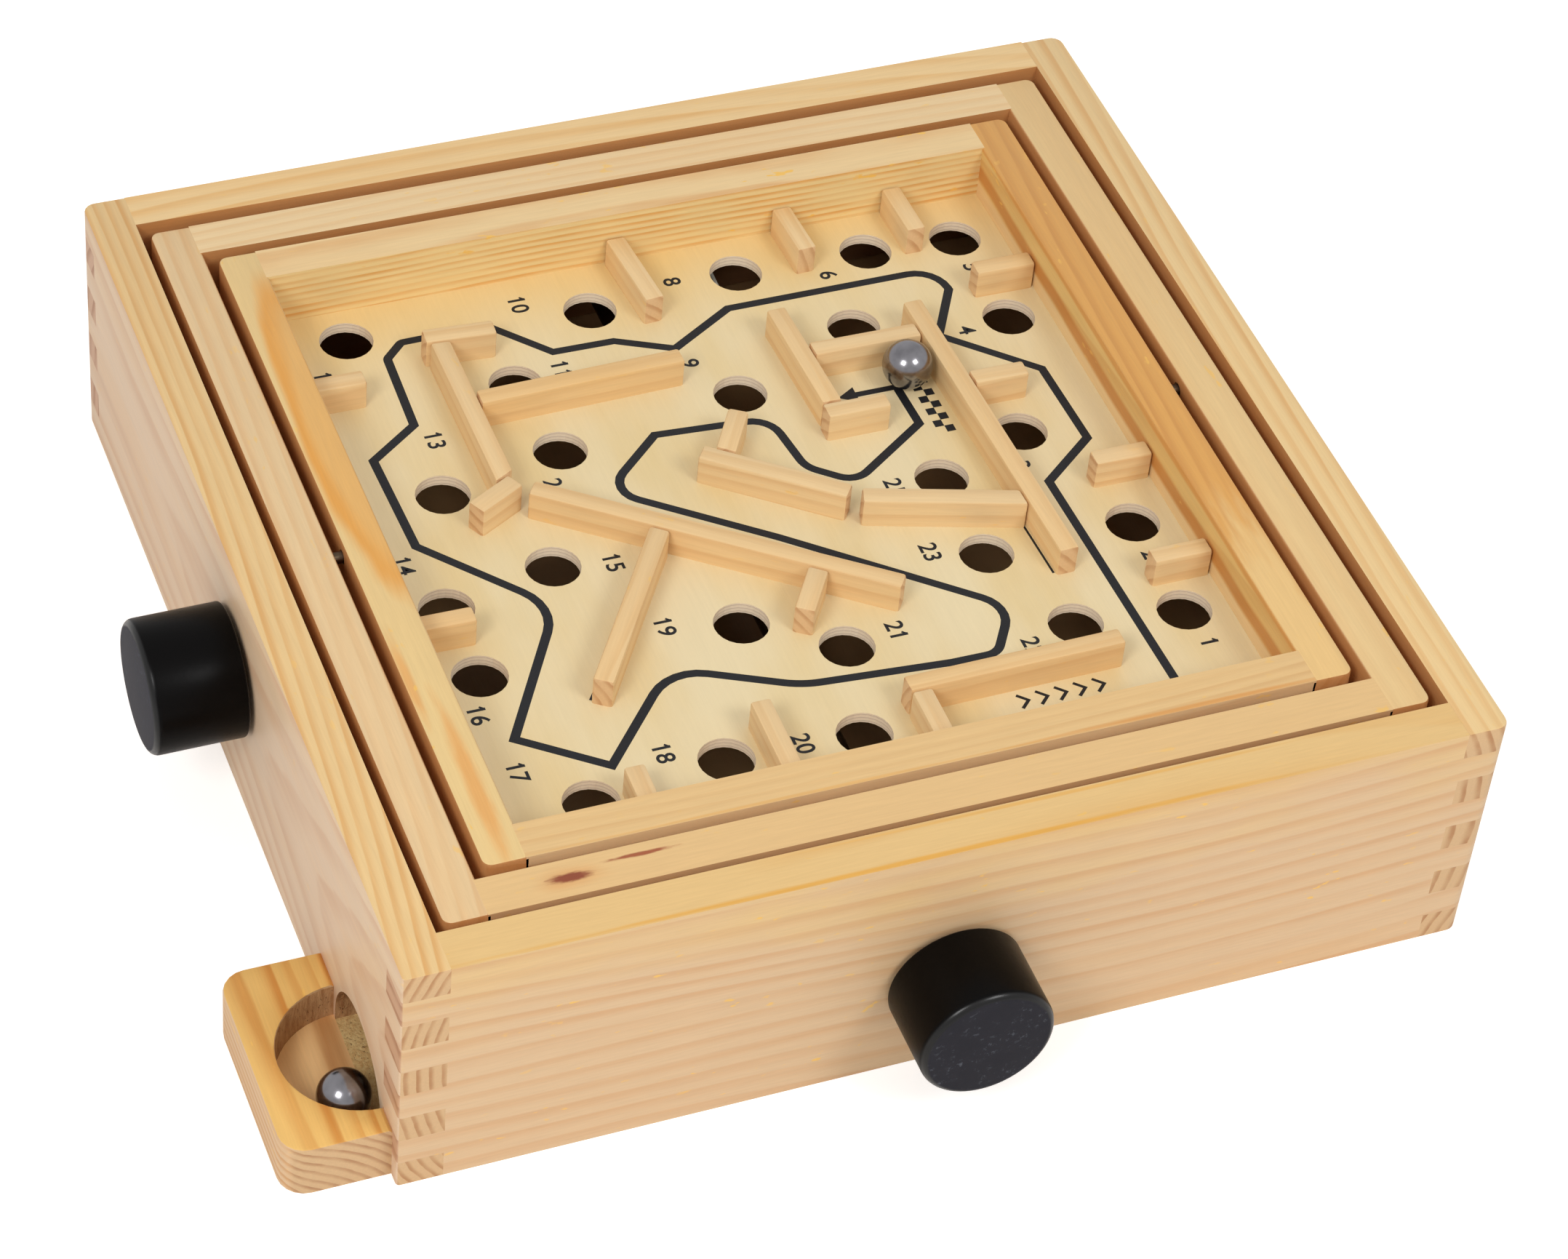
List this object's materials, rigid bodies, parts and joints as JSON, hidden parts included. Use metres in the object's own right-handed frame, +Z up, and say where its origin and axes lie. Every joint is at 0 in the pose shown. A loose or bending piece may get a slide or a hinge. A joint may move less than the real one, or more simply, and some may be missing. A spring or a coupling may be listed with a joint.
{
  "type": "ball maze",
  "caption": "Wooden tilt maze: a finger-jointed box with a tilting frame and tray, a holed board with low walls, two knobs on cord-wound rods, and a side block that catches the ball.",
  "frame": {"origin": "Centre of the bounding box of the whole game, knobs and catch block included, on the surface it stands on.", "axes": "+X to the right along the wall with the larger knob, +Y to the back, +Z up. The maze tray is level at rest."},
  "size_m": [0.2404, 0.2384, 0.0576],
  "materials": {
    "pine": "lightly lacquered pine with amber grain",
    "plywood": "sanded birch plywood, bare",
    "wall_strip": "sanded pine strip, bare",
    "steel": "drawn steel wire and rod",
    "ball_steel": "polished bearing steel",
    "knob_black": "satin black, scuffed on the end faces",
    "cord": "off-white elastic cord",
    "ink": "black screen-printed ink on the board"
  },
  "bodies": {
    "box": {"front_wall": "pine", "back_wall": "pine", "left_wall": "pine", "right_wall": "pine", "ball_ramp": "plywood", "catch_block": "pine", "frame_pin_front": "steel", "frame_pin_back": "steel"},
    "tilt_frame": {"frame_rail_front": "pine", "frame_rail_back": "pine", "frame_rail_left": "pine", "frame_rail_right": "pine", "tray_pin_left": "steel", "tray_pin_right": "steel", "frame_eye_left": "steel", "frame_eye_right": "steel", "frame_cord": "cord"},
    "maze_tray": {"tray_rail_front": "pine", "tray_rail_back": "pine", "tray_rail_left": "pine", "tray_rail_right": "pine", "maze_board": "plywood", "maze_wall_01": "wall_strip", "maze_wall_02": "wall_strip", "maze_wall_03": "wall_strip", "maze_wall_04": "wall_strip", "maze_wall_05": "wall_strip", "maze_wall_06": "wall_strip", "maze_wall_07": "wall_strip", "maze_wall_08": "wall_strip", "maze_wall_09": "wall_strip", "maze_wall_10": "wall_strip", "maze_wall_11": "wall_strip", "maze_wall_12": "wall_strip", "maze_wall_13": "wall_strip", "maze_wall_14": "wall_strip", "maze_wall_15": "wall_strip", "maze_wall_16": "wall_strip", "maze_wall_17": "wall_strip", "maze_wall_18": "wall_strip", "maze_wall_19": "wall_strip", "maze_wall_20": "wall_strip", "maze_wall_21": "wall_strip", "maze_wall_22": "wall_strip", "maze_wall_23": "wall_strip", "maze_wall_24": "wall_strip", "maze_wall_25": "wall_strip", "maze_wall_26": "wall_strip", "maze_wall_27": "wall_strip", "tray_eye_front": "steel", "tray_eye_back": "steel", "tray_cord": "cord"},
    "frame_turner": {"frame_knob": "knob_black", "frame_rod": "steel"},
    "tray_turner": {"tray_knob": "knob_black", "tray_rod": "steel"},
    "maze_ball": {"maze_ball": "ball_steel"},
    "catch_ball": {"catch_ball": "ball_steel"}
  },
  "joints": [
    {"name": "frame_tilt", "type": "hinge", "parent": "box", "child": "tilt_frame", "pos_m": [0.0102, 0.00925, 0.053], "axis": [0, 1, 0], "range_deg": [-3, 3], "deforming": ["frame_cord", "tray_cord"]},
    {"name": "tray_tilt", "type": "hinge", "parent": "tilt_frame", "child": "maze_tray", "pos_m": [0.0102, 0.00925, 0.053], "axis": [1, 0, 0], "range_deg": [-4, 4], "deforming": ["tray_cord"]},
    {"name": "frame_knob_turn", "type": "hinge", "parent": "box", "child": "frame_turner", "pos_m": [0.0087, -0.10075, 0.0233], "axis": [0, 1, 0], "range_deg": [-34, 34]},
    {"name": "tray_knob_turn", "type": "hinge", "parent": "box", "child": "tray_turner", "pos_m": [-0.0998, 0.00455, 0.0335], "axis": [1, 0, 0], "range_deg": [-31, 31]},
    {"name": "maze_ball_roll", "type": "slide", "parent": "maze_tray", "child": "maze_ball", "axis": [0, 1, 0], "range_m": [-0.02, 0.001]},
    {"name": "catch_ball_roll", "type": "slide", "parent": "box", "child": "catch_ball", "axis": [0, 1, 0], "range_m": [0, 0.0165]}
  ],
  "couplings": [
    {"joint": "frame_knob_turn", "follows": "frame_tilt", "ratio": 10.79},
    {"joint": "tray_knob_turn", "follows": "tray_tilt", "ratio": 7.58}
  ]
}
